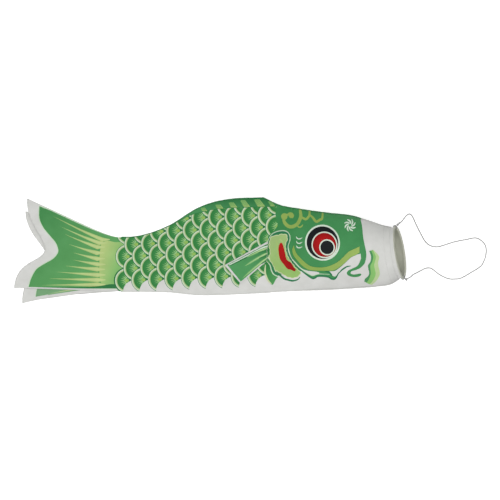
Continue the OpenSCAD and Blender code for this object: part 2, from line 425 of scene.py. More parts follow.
def ink(r, g, b):
    """Linear colour of an ink given as it looks in the studio's light."""
    return tuple((((c / 255 + 0.055) / 1.055) ** 2.4 if c > 10 else c / 255 / 12.92) / STUDIO_LIGHT
                 for c in (r, g, b))


WHITE_CLOTH = ink(208, 208, 205)
# Painted shade: the front of the hem's bead is grey-olive, darker than the white cloth, like the shaded
# inside of the mouth.
HEM_BEAD_PAINTED_SHADE = ink(180, 182, 167)
HEM_INSIDE = ink(216, 217, 200)
HEAD_GREEN = ink(66, 139, 82)
HEAD_SHADE = ink(58, 132, 74)
DEEP_GREEN = ink(40, 112, 60)
LINE_GREEN = ink(44, 116, 76)
BODY_GREEN = ink(76, 148, 82)
SHADE_GREEN = ink(44, 122, 58)
TAIL_GREEN = ink(92, 158, 92)
TAIL_DARK = ink(66, 136, 76)
RAY_GREEN = ink(126, 180, 104)
RAY_YELLOW = ink(178, 196, 124)
MINT = ink(196, 214, 190)
CREAM = ink(196, 206, 164)
CREAM_GREEN = ink(116, 162, 96)
RAY_PALE = ink(186, 204, 138)
APEX_YELLOW = ink(156, 188, 92)
TICK_GREEN = ink(166, 204, 138)
STRIP_YELLOW = ink(160, 186, 108)
SWIRL_OLIVE = ink(142, 168, 84)
CHEEK_OLIVE = ink(134, 164, 78)
CHEEK_PALE = ink(150, 176, 92)
PLATE_GREEN = ink(146, 184, 104)
PLATE_OLIVE = ink(156, 184, 118)
PLATE_LIGHT = ink(160, 188, 110)
PLATE_PALE = ink(168, 190, 120)
EYE_RED = ink(166, 8, 8)
EYE_DARK_RED = ink(140, 6, 8)
GILL_RED = ink(172, 12, 10)
GILL_DARK = ink(150, 8, 8)
INK_BLACK = ink(14, 20, 22)
EYE_WHITE = ink(206, 220, 204)
LIP_DARK = ink(76, 142, 88)
LIP_MID = ink(134, 188, 108)
LIP_YELLOW = ink(180, 202, 148)
FIN_GREEN = ink(76, 148, 88)
FIN_DARK = ink(58, 128, 72)
FIN_RAY = ink(134, 184, 112)
FIN_PALE = ink(190, 212, 158)


def blended(a, b, t):
    return tuple(p + (q - p) * t for p, q in zip(a, b))


def faded(first, last, start, end):
    """Paint that changes from one ink to another between two places on the cloth."""
    def paint(s, y):
        dx, dy = end[0] - start[0], end[1] - start[1]
        t = ((s - start[0]) * dx + (y - start[1]) * dy) / (dx * dx + dy * dy)
        return blended(first, last, min(1, max(0, t)))
    return paint


def ringed(inner, outer, centre, r_inner, r_outer):
    """Paint that changes from one ink to another with the distance from a centre."""
    def paint(s, y):
        t = (hypot(s - centre[0], y - centre[1]) - r_inner) / (r_outer - r_inner)
        return blended(inner, outer, min(1, max(0, t)))
    return paint


def disc(centre, r, steps=32):
    turns = [2 * pi * k / steps for k in range(steps)]
    return [(centre[0] + r * cos(a), centre[1] + r * sin(a)) for a in turns]


def stroke(points, width, tip=0.3):
    """Outline of a brush stroke along a smooth line; its end quarters taper to a share, the tip."""
    line = smooth_line(points)
    n = len(line)
    left, right = [], []
    for i, (x, y) in enumerate(line):
        ax, ay = line[max(0, i - 1)]
        bx, by = line[min(n - 1, i + 1)]
        size = hypot(bx - ax, by - ay) or 1
        half = width / 2 * (tip + (1 - tip) * min(1, 4 * min(i, n - 1 - i) / (n - 1)))
        left.append((x - (by - ay) / size * half, y + (bx - ax) / size * half))
        right.append((x + (by - ay) / size * half, y - (bx - ax) / size * half))
    return left + right[::-1]


def grown(outline, amount):
    """A closed outline moved outwards by an amount, whichever way round it runs."""
    n = len(outline)
    area = sum(outline[i - 1][0] * outline[i][1] - outline[i][0] * outline[i - 1][1] for i in range(n))
    push = amount if area > 0 else -amount
    moved = []
    for i, (x, y) in enumerate(outline):
        after, before = outline[(i + 1) % n], outline[i - 1]
        dx, dy = after[0] - before[0], after[1] - before[1]
        size = hypot(dx, dy) or 1
        moved.append((x + push * dy / size, y - push * dx / size))
    return moved


# ---- print: the fish, as layers from below up

tail_top_edge = bezier((-161, 23), (-185, 24), (-210, 39), (-329, 93))
tail_upper_lobe = bezier((-329, 93), (-332, 52), (-300, 26), (-297, 3))
tail_lower_lobe = bezier((-297, 3), (-297, -22), (-350, -15), (-352.5, -68))
EDGE_STEP = 3


def across(s, steps):
    """Places between the belly and back edges, closer together near the seams."""
    back, belly = float(profile(s, BACK)), float(profile(s, BELLY))
    return [(back + belly) / 2 - (back - belly) / 2 * cos(pi * k / steps) for k in range(1, steps)]


def cloth_outline():
    """Edge of one side's cloth: belly edge, mouth, back edge and the tail's notched end."""
    places = np.arange(TUBE_START, TUBE_END + 0.1, EDGE_STEP)
    belly = [(s, float(profile(s, BELLY))) for s in places]
    back = [(s, float(profile(s, BACK))) for s in places[::-1]]
    mouth = [(TUBE_END, y) for y in across(TUBE_END, MOUTH_STEPS)]
    tail = tail_top_edge[1:] + tail_upper_lobe[1:] + tail_lower_lobe[1:]
    return belly + mouth + back + tail


def blob(points):
    """Smooth closed outline through a few points."""
    return smooth_line(points, 3, closed=True)


def tail_margin(width):
    """Unprinted cloth along the belly edge of the tail."""
    return [(-345, -68 + width), (-165, -73.5 + width), (-165, -80), (-360, -80)], WHITE_CLOTH


def tail_ray(tip, root, half_mid, half_root):
    """Ray of the tail: a point that swells towards the tail's root."""
    mid = (tip[0] + 0.55 * (root[0] - tip[0]), tip[1] + 0.58 * (root[1] - tip[1]))
    upper = smooth_line([tip, (mid[0], mid[1] + half_mid), (root[0], root[1] + half_root)])
    lower = smooth_line([(root[0], root[1] - half_root), (mid[0], mid[1] - half_mid), tip])
    return upper + [(root[0] + 14, root[1] + 0.5), (root[0] + 14, root[1] - 0.5)] + lower[:-1]


def tail_ground_layers():
    """Green of the tail with its mint line, and the yellow area at its root."""
    print_edge = smooth_line([
        (-307, 79), (-307, 58), (-300, 41), (-288, 26), (-278, 14), (-273, 1), (-275, -7),
        (-283, -16), (-297, -24), (-311, -33), (-318, -43), (-323, -54), (-327, -69),
    ])
    upper = [(x, y - 2.5 * min(1, (TUBE_START - x) / 60)) for x, y in tail_top_edge if x > -300]
    green = print_edge + [(-160, -69), (-140, 10), (-150, 30)] + upper
    base = blob([
        (-197, 4), (-194, 13), (-184, 17), (-172, 14.5), (-158, 14), (-154, 6),
        (-154, -30), (-155, -58), (-166, -61), (-188, -62), (-198, -54), (-199, -20),
    ])
    return [
        (grown(green, 1.8), MINT),
        (green, faded(TAIL_GREEN, TAIL_DARK, (-200, -30), (-300, 70))),
        (base, faded(RAY_YELLOW, RAY_GREEN, (-196, 0), (-160, -12))),
    ]


TAIL_RAYS = [
    ((-284, 62), (-194, 19)), ((-270, 43), (-200, 13)), ((-262, 29), (-203, 5.5)), ((-255, 11), (-204, -5)),
    ((-248, -4), (-203, -15.5)), ((-248, -17), (-202, -25.5)), ((-261, -28), (-203, -34.5)),
    ((-277, -39), (-202, -44.5)), ((-292, -51), (-202, -53.5)), ((-304, -63), (-202, -62)),
]


def tail_layers():
    layers = tail_ground_layers()
    for tip, root in TAIL_RAYS:
        layers.append((tail_ray(tip, root, 1.9, 3.9), faded(TAIL_GREEN, RAY_YELLOW, tip, root)))
        layers.append((tail_ray(tip, root, 0.8, 1.7), faded(RAY_YELLOW, RAY_PALE, tip, root)))
    foot = smooth_line([(-320, -66.5), (-250, -66), (-205, -65), (-190, -63), (-178, -61), (-166, -62)], 3)
    foot += [(-166, -69), (-322, -69)]
    layers.append((foot, faded(TAIL_DARK, DEEP_GREEN, (-300, -67), (-180, -67))))
    return layers


SCALE_R = 21.6
SCALE_LINE = 1.4
SCALE_BAND = 4.1
SCALE_ALONG = (29.8, 1.2)
SCALE_DOWN = (14.2, -20.9)
FIRST_SCALE = (-147.9, -11.6)
SCALES_IN_ROW = range(-4, 14)
WHITE_ROW = 3
SCALE_ROWS = range(-6, WHITE_ROW + 1)
PRINT_START = -152
PRINT_END = 137
FAN_TURN = 0.26


def fan_line(apex, turn):
    """Fine light line of a scale's fan, turned away from its middle line."""
    a = pi + FAN_TURN * turn
    near, far, half = 6.5, 16 - 0.3 * turn * turn, 0.8
    ax, ay = apex[0] + near * cos(a), apex[1] + near * sin(a)
    tip = (apex[0] + far * cos(a), apex[1] + far * sin(a))
    return [(ax - half * sin(a), ay + half * cos(a)), tip, (ax + half * sin(a), ay - half * cos(a))]


def scale_layers(centre, white):
    """One scale: a mint line, a cream band and a green fan that brightens towards its root."""
    x, y = centre
    apex = (x + 4, y)
    if white:
        return [(disc(centre, SCALE_R), WHITE_CLOTH)]
    shadow = 2.4 if x < PRINT_START + 4 else 0.9
    spot = blob([(x - 5, y), (x - 1, y + 3), (x + 3, y + 1.5), (x + 3, y - 1.5), (x - 1, y - 3)])
    return [
        (disc(centre, SCALE_R + shadow), DEEP_GREEN),
        (disc(centre, SCALE_R), MINT),
        (disc(centre, SCALE_R - SCALE_LINE),
         ringed(CREAM_GREEN, CREAM, centre, SCALE_R - SCALE_BAND, SCALE_R - 1.8)),
        (disc(centre, SCALE_R - SCALE_BAND), ringed(BODY_GREEN, SHADE_GREEN, apex, 5, 19)),
        *[(fan_line(apex, turn), TICK_GREEN) for turn in range(-3, 4)],
        (spot, ringed(APEX_YELLOW, BODY_GREEN, (x, y), 1.5, 6)),
        ([(x + 9, y), (x + 3.2, y + 3.4), (x + 3.2, y - 3.4)], DEEP_GREEN),
    ]


def body_layers():
    """Body ground with its rows of scales; the lowest row is white and cuts the one above into points."""
    layers = [([(-152, 12), (-163, 26), (-100, 60), (0, 110), (150, 110), (150, -40), (120, -70),
                (-148, -70), (-148, -12)], BODY_GREEN)]
    centres = []
    for down in SCALE_ROWS:
        for along in SCALES_IN_ROW:
            x = FIRST_SCALE[0] + along * SCALE_ALONG[0] + down * SCALE_DOWN[0]
            y = FIRST_SCALE[1] + along * SCALE_ALONG[1] + down * SCALE_DOWN[1]
            top = float(profile(x, BACK)) + SCALE_R - 2
            by_gill = x > 95 and y < -40 and down < WHITE_ROW
            if PRINT_START < x < PRINT_END and y < top and not by_gill:
                centres.append((x, y, down))
    for x, y, down in sorted(centres):
        layers += scale_layers((x, y), down == WHITE_ROW)
    return layers


# Light patches along the back: left end, lower edge, width and height
BACK_PATCHES = [
    (-14, 70.5, 9, 6), (13, 75, 11, 7), (38, 77, 11, 9), (61, 78, 11, 12), (86, 78.5, 13, 13),
    (109, 79, 8, 9),
]


def back_patch_layers(left, bottom, width, height):
    """A patch that leans back, with four fine strokes through it."""
    lean = 0.75 * height
    top = bottom + height
    patch = [(left, bottom), (left + width, bottom), (left + width - lean, top),
             (left + width * 0.3 - lean, top), (left - lean * 0.6, bottom + height * 0.7)]
    roots = [left + width * (0.12 + 0.22 * k) for k in range(4)]
    lines = [[(x, bottom + 0.5), (x - lean / 2, bottom + height / 2), (x - lean, top)] for x in roots]
    paint = faded(STRIP_YELLOW, BODY_GREEN, (left, bottom), (left - 1, bottom + height * 1.6))
    return [(patch, paint)] + [(stroke(line, 0.8), BODY_GREEN) for line in lines]


def dorsal_layers():
    """Dark strip along the back, with slanting light patches."""
    lower = smooth_line([(-80, 41), (-63, 49), (-36, 63), (0, 72.5), (27, 76), (70, 77.5), (124, 79)])
    strip = lower + [(140, 110), (-80, 110)]
    layers = [
        (grown(strip, 0.8), DEEP_GREEN),
        (strip, faded(HEAD_GREEN, DEEP_GREEN, (0, 70), (0, 92))),
    ]
    for patch in BACK_PATCHES:
        layers += back_patch_layers(*patch)
    return layers


def face_layers():
    """Green of the head, with the pale cloth that shows between the cheek and the jaw line."""
    behind = smooth_line([
        (122, 92), (121, 80), (117.5, 66), (120, 54), (122, 46), (116, 36), (110, 30), (104, 24),
        (106, 14), (116, -2), (130, -24), (150, -32), (163, -38),
    ], 3)
    chin = smooth_line([
        (163.5, -37.5), (181, -50), (187, -50), (194, -46.5), (210, -47.5), (217.5, -51),
        (224, -50), (231, -40), (238, -34), (246, -30),
    ], 3)
    mouth_line = smooth_line([(237.5, -26.5), (246, -19.5), (254, -12.5), (263, -8.5), (273, -6)], 3)
    whisker = smooth_line([
        (273, -14.5), (269, -22.5), (264, -28.5), (255.5, -32.5), (247.5, -36.5), (244.5, -41.5),
        (248, -46), (257, -48.2), (266, -47), (270.5, -43.5), (268, -41.5), (259, -43.3), (252, -42),
        (253, -38), (261, -35.5), (270, -31.5), (278, -24.5), (282, -16.5), (284, -6.5),
        (283.5, 2), (280.5, 21.5), (279, 42.5), (275.5, 58), (276, 72),
    ], 3)
    small_gap = blob([(164, -34), (176, -37), (190, -38.5), (196, -41), (190, -44), (183, -46), (173, -41)])
    wide_gap = blob([
        (214, -38), (224, -37), (237, -28), (247, -20), (255, -13), (263, -9.5), (272, -8), (270, -20),
        (262, -28), (250, -30), (243, -31), (236, -35), (229, -42), (224, -47), (218, -45),
    ])
    face = behind + chin + mouth_line + whisker + [(276, 92)]
    return [
        (face, faded(HEAD_GREEN, HEAD_SHADE, (230, 20), (130, 60))),
        (small_gap, WHITE_CLOTH),
        (wide_gap, WHITE_CLOTH),
    ]


def cheek_layers():
    """Olive band that runs under the eye from the gill to the mouth."""
    upper = smooth_line([
        (150.5, 9), (154.5, -4.5), (163.5, -15), (173.5, -24.5), (183.5, -29.5), (199.5, -31),
        (213.5, -28.5), (227, -22.5), (236, -16), (245, -7.5), (252.5, -1.5), (264.5, 3.5), (272, 7),
    ], 3)
    lower = smooth_line([
        (271, -4), (263, -8.5), (254, -12.5), (246, -19.5), (237.5, -26.5), (223.5, -35.5), (211.5, -36.8),
        (189.5, -36.8), (175.5, -34.5), (165.5, -28), (157.5, -19.5), (149.5, -8.5), (147.5, 1.5),
    ], 3)
    cheek = upper + lower
    return [
        (grown(cheek, 0.5), DEEP_GREEN),
        (cheek, faded(CHEEK_OLIVE, CHEEK_PALE, (160, -20), (262, 0))),
    ]


def jaw_layers():
    """Jaw line and the light line beside it."""
    jaw = [(148, -22), (163.5, -36.5), (181, -49.5), (187, -50), (194, -46.5), (210, -47.5),
           (217.5, -51.5), (224, -50.5), (231, -40), (243.5, -31.5)]
    light = [(103, 13), (105.5, 20), (111, 28.5), (119, 33), (130, 35), (138, 33), (142.8, 27), (143.3, 18),
             (140, 8), (141.5, -1.5), (145.5, -13.5), (153, -22.5), (161.5, -31.5), (173.5, -39.5),
             (183, -45.5), (193, -42.8), (205, -42.8), (214, -43.5)]
    return [
        (stroke(jaw, 3.0), LINE_GREEN),
        (stroke([(206, -38), (214, -40), (219, -47)], 2.6), LINE_GREEN),
        (stroke([(230.5, -41.5), (237, -34.5), (245.5, -29.5), (253.5, -28)], 2.4), LINE_GREEN),
        (stroke(light, 1.9), MINT),
    ]


def scalloped(outline, lobe, depth):
    """A closed outline whose edge swells out in a row of lobes."""
    moved, travelled = [], 0.0
    for i, (x, y) in enumerate(outline):
        bx, by = outline[(i + 1) % len(outline)]
        ax, ay = outline[i - 1]
        size = hypot(bx - ax, by - ay) or 1
        out = depth * abs(sin(pi * travelled / lobe))
        moved.append((x - out * (by - ay) / size, y + out * (bx - ax) / size))
        travelled += hypot(bx - x, by - y)
    return moved


def gill_line_layers():
    """Lines above the gill plate, below it and beside it, and the curved end of the body print."""
    body_end = blob([(99, -22), (98, -38), (103, -53), (112, -62.5), (118, -53), (122, -47), (115, -40),
                     (108, -24)])
    above = [(105, 11), (107, 18), (112, 26), (120, 30.5), (130, 32.3), (137.5, 30.5), (141, 24.5),
             (140.7, 17), (138, 9), (138, 0), (141, -9), (146.5, -18.5), (153, -27), (162, -36)]
    return [
        (body_end, faded(SHADE_GREEN, BODY_GREEN, (100, -30), (118, -50))),
        (stroke([(100, -26), (99, -40), (104, -54), (110.5, -60.5)], 3), CREAM),
        (stroke(above, 4.0), LINE_GREEN),
    ]


def gill_plate_layers():
    """Scalloped plate with a cream edge, and the lines that follow it below."""
    plate = smooth_line([
        (108, 19), (112, 24.5), (121, 26.5), (131, 28.5), (137.5, 26.5), (138.5, 19.5), (135.5, 11.5),
        (135.5, 2), (137.5, -6.5), (141, -14.5), (147, -23.5), (154, -32), (161, -38.5), (161.5, -43),
        (157, -47), (150, -49.5), (140, -48), (131, -43), (124, -39), (118, -36), (114, -28.5),
        (110, -21), (106.5, -14), (108.5, -4), (107, 5), (107.5, 12),
    ], 5, closed=True)
    plate = scalloped(grown(plate, -1.1), lobe=8.5, depth=1.2)
    below = [(103, -19), (110.5, -25), (113.5, -34.5), (117.5, -41), (125, -44.5), (133, -51),
             (141, -53.5), (149, -55), (157.5, -52.5), (161.5, -48)]
    light = [(101, -19.5), (107.5, -26.5), (110.5, -36.5), (114.5, -43.5), (122, -47.5), (130, -54)]
    return [
        (grown(plate, 1.2), CREAM),
        (plate, faded(PLATE_OLIVE, PLATE_GREEN, (112, 20), (140, -40))),
        (stroke(below, 3.4), LINE_GREEN),
        (stroke(light, 1.7), MINT),
        (stroke([(118, 18), (121, 10), (121, -4), (124, -18)], 2.2), PLATE_LIGHT),
        (stroke([(124, 20), (128, 17.5), (131.5, 13)], 2.0), PLATE_PALE),
    ]


def gill_layers():
    red = blob([
        (126, 13), (130, 12), (132.5, 4), (135, -6), (138, -17), (146, -23), (150, -30), (154, -34.5),
        (151.5, -38), (145, -35), (139, -33.5), (132, -25), (126, -16.5), (123.5, -6), (123, 5),
    ])
    red_layer = (red, faded(GILL_RED, GILL_DARK, (126, 0), (148, -34)))
    return gill_line_layers() + gill_plate_layers() + [red_layer]


def olive_scroll_layers():
    """Scrollwork above the eye, with its round ends."""
    shapes = [
        stroke([(132.5, 64), (132.5, 54), (136, 47), (142, 42.5), (149, 42.5), (157, 47), (161.5, 54.5),
                (163.5, 61), (163, 68), (162, 77)], 6.2, tip=0.7),
        disc((133.5, 60.5), 5.8, 24),
        stroke([(135, 64.5), (139.5, 63.5), (143, 66), (147, 65.5), (149.5, 61.5), (147, 58)], 3.8, tip=0.8),
        disc((146, 62), 4.4, 20),
        stroke([(162.5, 61), (167, 58), (172.5, 55.5), (177, 59), (179.5, 64), (179.5, 76)], 4.2, tip=0.7),
        stroke([(180.5, 63), (186, 58), (189.5, 53), (193, 51), (198.5, 54.5), (203, 57.5), (204.5, 73)],
               4.4, tip=0.7),
        stroke([(156, 46), (159.5, 41.5), (164, 42), (167.5, 46)], 2.6),
    ]
    return [(shape, SWIRL_OLIVE) for shape in shapes]


WHEEL_HUB = (255.5, 44.8)
WHEEL_ARMS = 8
WHEEL_CURL = 0.11


def wheel_arm(turn):
    """Curling line out from the hub of the wheel."""
    return [(WHEEL_HUB[0] + r * cos(turn + WHEEL_CURL * r), WHEEL_HUB[1] + r * sin(turn + WHEEL_CURL * r))
            for r in (2.6, 5, 8, 11.5)]


def scroll_layers():
    """Scrollwork, small cheek marks and the wheel in front of the eye."""
    marks = [[(155, y), (157, y - 3.5), (161, y - 4.3), (166, y - 2)] for y in (24.5, 16.5, 8.5)]
    arms = [wheel_arm(2 * pi * k / WHEEL_ARMS) for k in range(WHEEL_ARMS)]
    return (olive_scroll_layers() + [(stroke(mark, 1.8, tip=0.15), EYE_WHITE) for mark in marks]
            + [(stroke(arm, 2.6, tip=0.35), EYE_WHITE) for arm in arms])


def eye_layers():
    """Ball, iris and pupil, each with a white ring and set further forward than the one round it."""
    ball, iris, pupil = (203, 13.5), (206.5, 9.5), (211, 5)
    return [
        (disc(ball, 32.2, 64), EYE_WHITE), (disc(ball, 29.2, 64), INK_BLACK),
        (disc(iris, 23.9, 56), EYE_WHITE),
        (disc(iris, 21.6, 56), ringed(EYE_RED, EYE_DARK_RED, iris, 14, 22)),
        (disc(pupil, 14.5, 40), EYE_WHITE), (disc(pupil, 12.2, 40), INK_BLACK),
    ]


def lip_layers():
    """Wavy lips: dark, middle and yellow green bands from the cheek outwards."""
    inner = [(290, -1), (292.5, -10), (290.5, -19.5), (285, -26.5), (284.5, -32.5), (285, -40.5),
             (282, -46.5), (276, -51), (274, -56)]
    dark = [(294, 0), (297, -10), (294, -20), (289.5, -27), (288.5, -33), (288, -41), (285, -48),
            (280.5, -55), (277, -58)]
    middle = [(297.5, 1), (302, -10), (299, -20), (296.5, -26), (296.5, -32), (297, -40.5), (294, -48),
              (287, -57), (282, -61)]
    outer = [(298, 1), (305, -5), (308.5, -12), (305, -21), (304.5, -29), (305, -40), (301, -48),
             (294, -56), (286, -62)]
    bands = [(middle, outer, LIP_YELLOW), (dark, middle, LIP_MID), (inner, dark, LIP_DARK)]
    return [(smooth_line(left, 3) + smooth_line(right, 3)[::-1], paint) for left, right, paint in bands]


def fish_layers(margin):
    """The whole print of one side, with a margin left white along the tail's belly edge."""
    return (tail_layers() + [tail_margin(margin)] + body_layers() + dorsal_layers() + face_layers()
            + cheek_layers() + jaw_layers() + gill_layers() + scroll_layers() + eye_layers() + lip_layers())


FIN_CORNERS = [(104, 16), (26, -27), (55, -60), (104, -18)]
FIN_RAYS = [((104, 4.5), (66, -13)), ((105, -4), (62, -29)), ((105, -12), (58, -51))]
FIN_SHADES = [((106, 1), (86, -5)), ((106, -8), (88, -15)), ((106, -16.5), (92, -24.5))]


def fin_layers():
    """Green fin with a white and a dark line along its upper edge, light rays and dark lines at its root."""
    layers = [
        ([(98, 9), (31, -26.5), (55.5, -56.5), (101, -17.5), (106, -20), (106, 13)],
         faded(FIN_DARK, FIN_GREEN, (104, 0), (60, -30))),
        ([(106, 9), (95, 6), (34, -26), (36, -27), (96, 2.6), (106, 5)], EYE_WHITE),
        ([(106, 6.6), (95, 3.2), (36, -26.8), (37.5, -27.8), (96, 1), (106, 4)], DEEP_GREEN),
    ]
    for root, end in FIN_RAYS:
        middle = ((root[0] + end[0]) / 2, (root[1] + end[1]) / 2 + 0.8)
        layers.append((stroke([root, middle, end], 4.4, tip=0.12), faded(FIN_RAY, FIN_GREEN, root, end)))
        layers.append((stroke([root, middle, end], 1.8, tip=0.12), faded(FIN_PALE, FIN_RAY, root, end)))
    for root, end in FIN_SHADES:
        layers.append((stroke([root, end], 2.4, tip=0.5), faded(DEEP_GREEN, FIN_DARK, root, end)))
    return layers


# ---- printed cloth

MERGE_WITHIN = 1e-4


def inside(points, outline):
    """Which of an array of points lie inside a closed outline."""
    x, y = points[:, 0], points[:, 1]
    hit = np.zeros(len(points), bool)
    for (ax, ay), (bx, by) in zip(outline, outline[1:] + outline[:1]):
        if ay != by:
            crosses = (ay > y) != (by > y)
            hit ^= crosses & (x < ax + (y - ay) * (bx - ax) / (by - ay))
    return hit


def divided(edge, layers, grid):
    """Flat points and triangles of a sheet, divided along its edge and along every line of its print."""
    coords, edges = [], []
    for outline in [edge] + [shape for shape, _ in layers]:
        start, n = len(coords), len(outline)
        coords += [Vector((float(x), float(y))) for x, y in outline]
        edges += [(start + i, start + (i + 1) % n) for i in range(n)]
    coords += [Vector(p) for p in grid]
    points, _, triangles, *_ = delaunay_2d_cdt(coords, edges, [], 0, MERGE_WITHIN)
    flat = np.array([tuple(p) for p in points])
    triangles = np.array([t for t in triangles if len(t) == 3])
    triangles = triangles[inside(flat[triangles].mean(axis=1), edge)]
    used = np.unique(triangles)
    renumber = np.zeros(len(flat), int)
    renumber[used] = np.arange(len(used))
    return flat[used], renumber[triangles]


def topmost_layers(centres, layers):
    """Number of the layer that shows at each of an array of points; 0 is bare cloth."""
    topmost = np.zeros(len(centres), int)
    for i, (shape, _) in enumerate(layers, 1):
        low, high = np.min(shape, axis=0), np.max(shape, axis=0)
        near = np.flatnonzero(np.all((centres > low) & (centres < high), axis=1))
        topmost[near[inside(centres[near], shape)]] = i
    return topmost


def printed_sheet(name, edge, layers, grid, place, cloth_uv):
    """Sheet cut along an edge; the corners of each face take the paint of the layer that shows there."""
    flat, triangles = divided(edge, layers, grid)
    s, y = flat[:, 0], flat[:, 1]
    obj = add_mesh(name, place(s, y), triangles.tolist(), uv=cloth_uv(s, y))
    paints = [WHITE_CLOTH] + [paint for _, paint in layers]
    topmost = topmost_layers(flat[triangles].mean(axis=1), layers)
    colours = np.ones((len(triangles), 3, 4))
    for i, (corners, layer) in enumerate(zip(triangles, topmost)):
        paint = paints[layer]
        for k, corner in enumerate(corners):
            colours[i, k, :3] = paint(*flat[corner]) if callable(paint) else paint
    attribute = obj.data.color_attributes.new("print", "FLOAT_COLOR", "CORNER")
    attribute.data.foreach_set("color", colours.ravel())
    return obj


def dye_points(obj, colours):
    """Gives each point of a mesh its ink."""
    attribute = obj.data.color_attributes.new("print", "FLOAT_COLOR", "POINT")
    attribute.data.foreach_set("color", [x for colour in colours for x in (*colour, 1)])


BODY_GRID = 3.1
BODY_STEPS = 24
TAIL_GRID = 4


def side_grid(outline):
    """Points that divide a side cloth finely enough to bend, closer together near the seams of the head."""
    points = []
    for s in np.arange(TUBE_START + 2, TUBE_END - 1.5, BODY_GRID):
        points += [(s, y) for y in across(s, MOUTH_STEPS if s > PUFF_START else BODY_STEPS)]
    for s in np.arange(TAIL_END + 2, TUBE_START, TAIL_GRID):
        points += [(s, y + (s % (2 * TAIL_GRID)) / 4) for y in np.arange(-72, 92, TAIL_GRID)]
    return [p for p, kept in zip(points, inside(np.array(points), outline)) if kept]


def side_uv(s, y):
    """Place on the flat cloth, measured round the tube from its middle line."""
    back, belly = profile(s, BACK), profile(s, BELLY)
    v = seam_to_seam(s, y)
    round_y = (back + belly) / 2 + (back - belly) / 2 * (v + (np.arcsin(v) - v) * opened(s))
    return np.stack([s, np.where(s < TUBE_START, y, round_y)], axis=-1)


def finish_cloth(cloth, side):
    """Turns the faces of the lower side down and gives the cloth its two finishes and its thickness."""
    if side < 0:
        cloth.data.flip_normals()
    cloth.data.materials.append(printed_cloth)
    cloth.data.materials.append(printed_cloth_inside)
    thicken(cloth, inner_slot=1)


def add_side_cloth(name, side, margin):
    outline = cloth_outline()
    cloth = printed_sheet(name, outline, fish_layers(margin), side_grid(outline),
                          lambda s, y: side_cloth_place(s, y, side), side_uv)
    finish_cloth(cloth, side)
    return cloth


# ---- materials

SPECULAR = 0.12
SHEEN_ROUGHNESS = 0.4
WAVE_TURNS = 20 / (2 * pi)


def new_material(name, roughness=0.6, sheen=0.0):
    material = bpy.data.materials.new(name)
    material.use_nodes = True
    shader = material.node_tree.nodes["Principled BSDF"]
    shader.inputs["Roughness"].default_value = roughness
    shader.inputs["Specular IOR Level"].default_value = SPECULAR
    shader.inputs["Sheen Weight"].default_value = sheen
    shader.inputs["Sheen Roughness"].default_value = SHEEN_ROUGHNESS
    return material, material.node_tree, shader


def node(tree, kind, links=None, **settings):
    """Adds a shader node; links maps its inputs to values or to other nodes' outputs."""
    item = tree.nodes.new("ShaderNode" + kind)
    for key, value in settings.items():
        setattr(item, key, value)
    for key, value in (links or {}).items():
        if isinstance(value, bpy.types.NodeSocket):
            tree.links.new(value, item.inputs[key])
        else:
            item.inputs[key].default_value = value
    return item


def cloth_place(tree):
    return node(tree, "UVMap", uv_map="cloth").outputs["UV"]


def object_place(tree):
    return node(tree, "TexCoord").outputs["Object"]


def noise(tree, place, scale, detail=2.0):
    """Height of a noise with a number of bumps to the metre."""
    return node(tree, "TexNoise", {"Vector": place, "Scale": scale, "Detail": detail}).outputs["Fac"]


def thread_waves(tree, place, pitch):
    """Height of a plain weave: threads that cross at a pitch, in metres."""
    waves = [
        node(tree, "TexWave", {"Vector": place, "Scale": 1 / (pitch * WAVE_TURNS), "Distortion": 0.4,
                               "Detail": 1.0, "Detail Scale": 2.0}, bands_direction=direction).outputs["Fac"]
        for direction in ("X", "Y")
    ]
    return node(tree, "Math", {0: waves[0], 1: waves[1]}, operation="MULTIPLY").outputs[0]


def ranged(tree, height, low, high):
    """A noise's height, spread from low to high."""
    limits = {"Value": height, "From Min": 0.3, "From Max": 0.7, "To Min": low, "To Max": high}
    return node(tree, "MapRange", limits).outputs["Result"]


def mixed(tree, factor, a, b, blend_type="MIX"):
    """Mix of two colours; each is a node's output or three numbers."""
    mix = tree.nodes.new("ShaderNodeMix")
    mix.data_type = "RGBA"
    mix.blend_type = blend_type
    for socket, value in ((mix.inputs[0], factor), (mix.inputs[6], a), (mix.inputs[7], b)):
        if isinstance(value, bpy.types.NodeSocket):
            tree.links.new(value, socket)
        else:
            socket.default_value = (*value, 1) if isinstance(value, tuple) else value
    return mix.outputs[2]


def finish_surface(tree, shader, colour, roughness, bumps):
    """Links a colour, a roughness and bumps, which are pairs of a height and a distance in metres."""
    tree.links.new(colour, shader.inputs["Base Color"])
    tree.links.new(roughness, shader.inputs["Roughness"])
    normal = None
    for height, distance in bumps:
        bump = node(tree, "Bump", {"Height": height, "Distance": distance, "Strength": 0.6})
        if normal is not None:
            tree.links.new(normal, bump.inputs["Normal"])
        normal = bump.outputs["Normal"]
    tree.links.new(normal, shader.inputs["Normal"])


def polyester(name, bleed=1.0):
    """Plain-woven polyester that shows its print; inside the cloth the print only bleeds through."""
    material, tree, shader = new_material(name, sheen=0.03)
    place = cloth_place(tree)
    mottle = noise(tree, place, 45.0, 4.0)
    fibre = noise(tree, place, 1500.0)
    colour = node(tree, "Attribute", attribute_name="print").outputs["Color"]
    if bleed < 1:
        colour = mixed(tree, bleed, WHITE_CLOTH, colour)
    colour = mixed(tree, ranged(tree, mottle, 0.0, 0.16), colour, (0.45, 0.5, 0.42), "MULTIPLY")
    colour = mixed(tree, ranged(tree, fibre, 0.0, 0.2), colour, (1.25, 1.25, 1.25), "MULTIPLY")
    finish_surface(tree, shader, colour, ranged(tree, mottle, 0.5, 0.66),
                   [(mottle, 0.0006), (thread_waves(tree, place, 0.0005), 0.00006)])
    return material


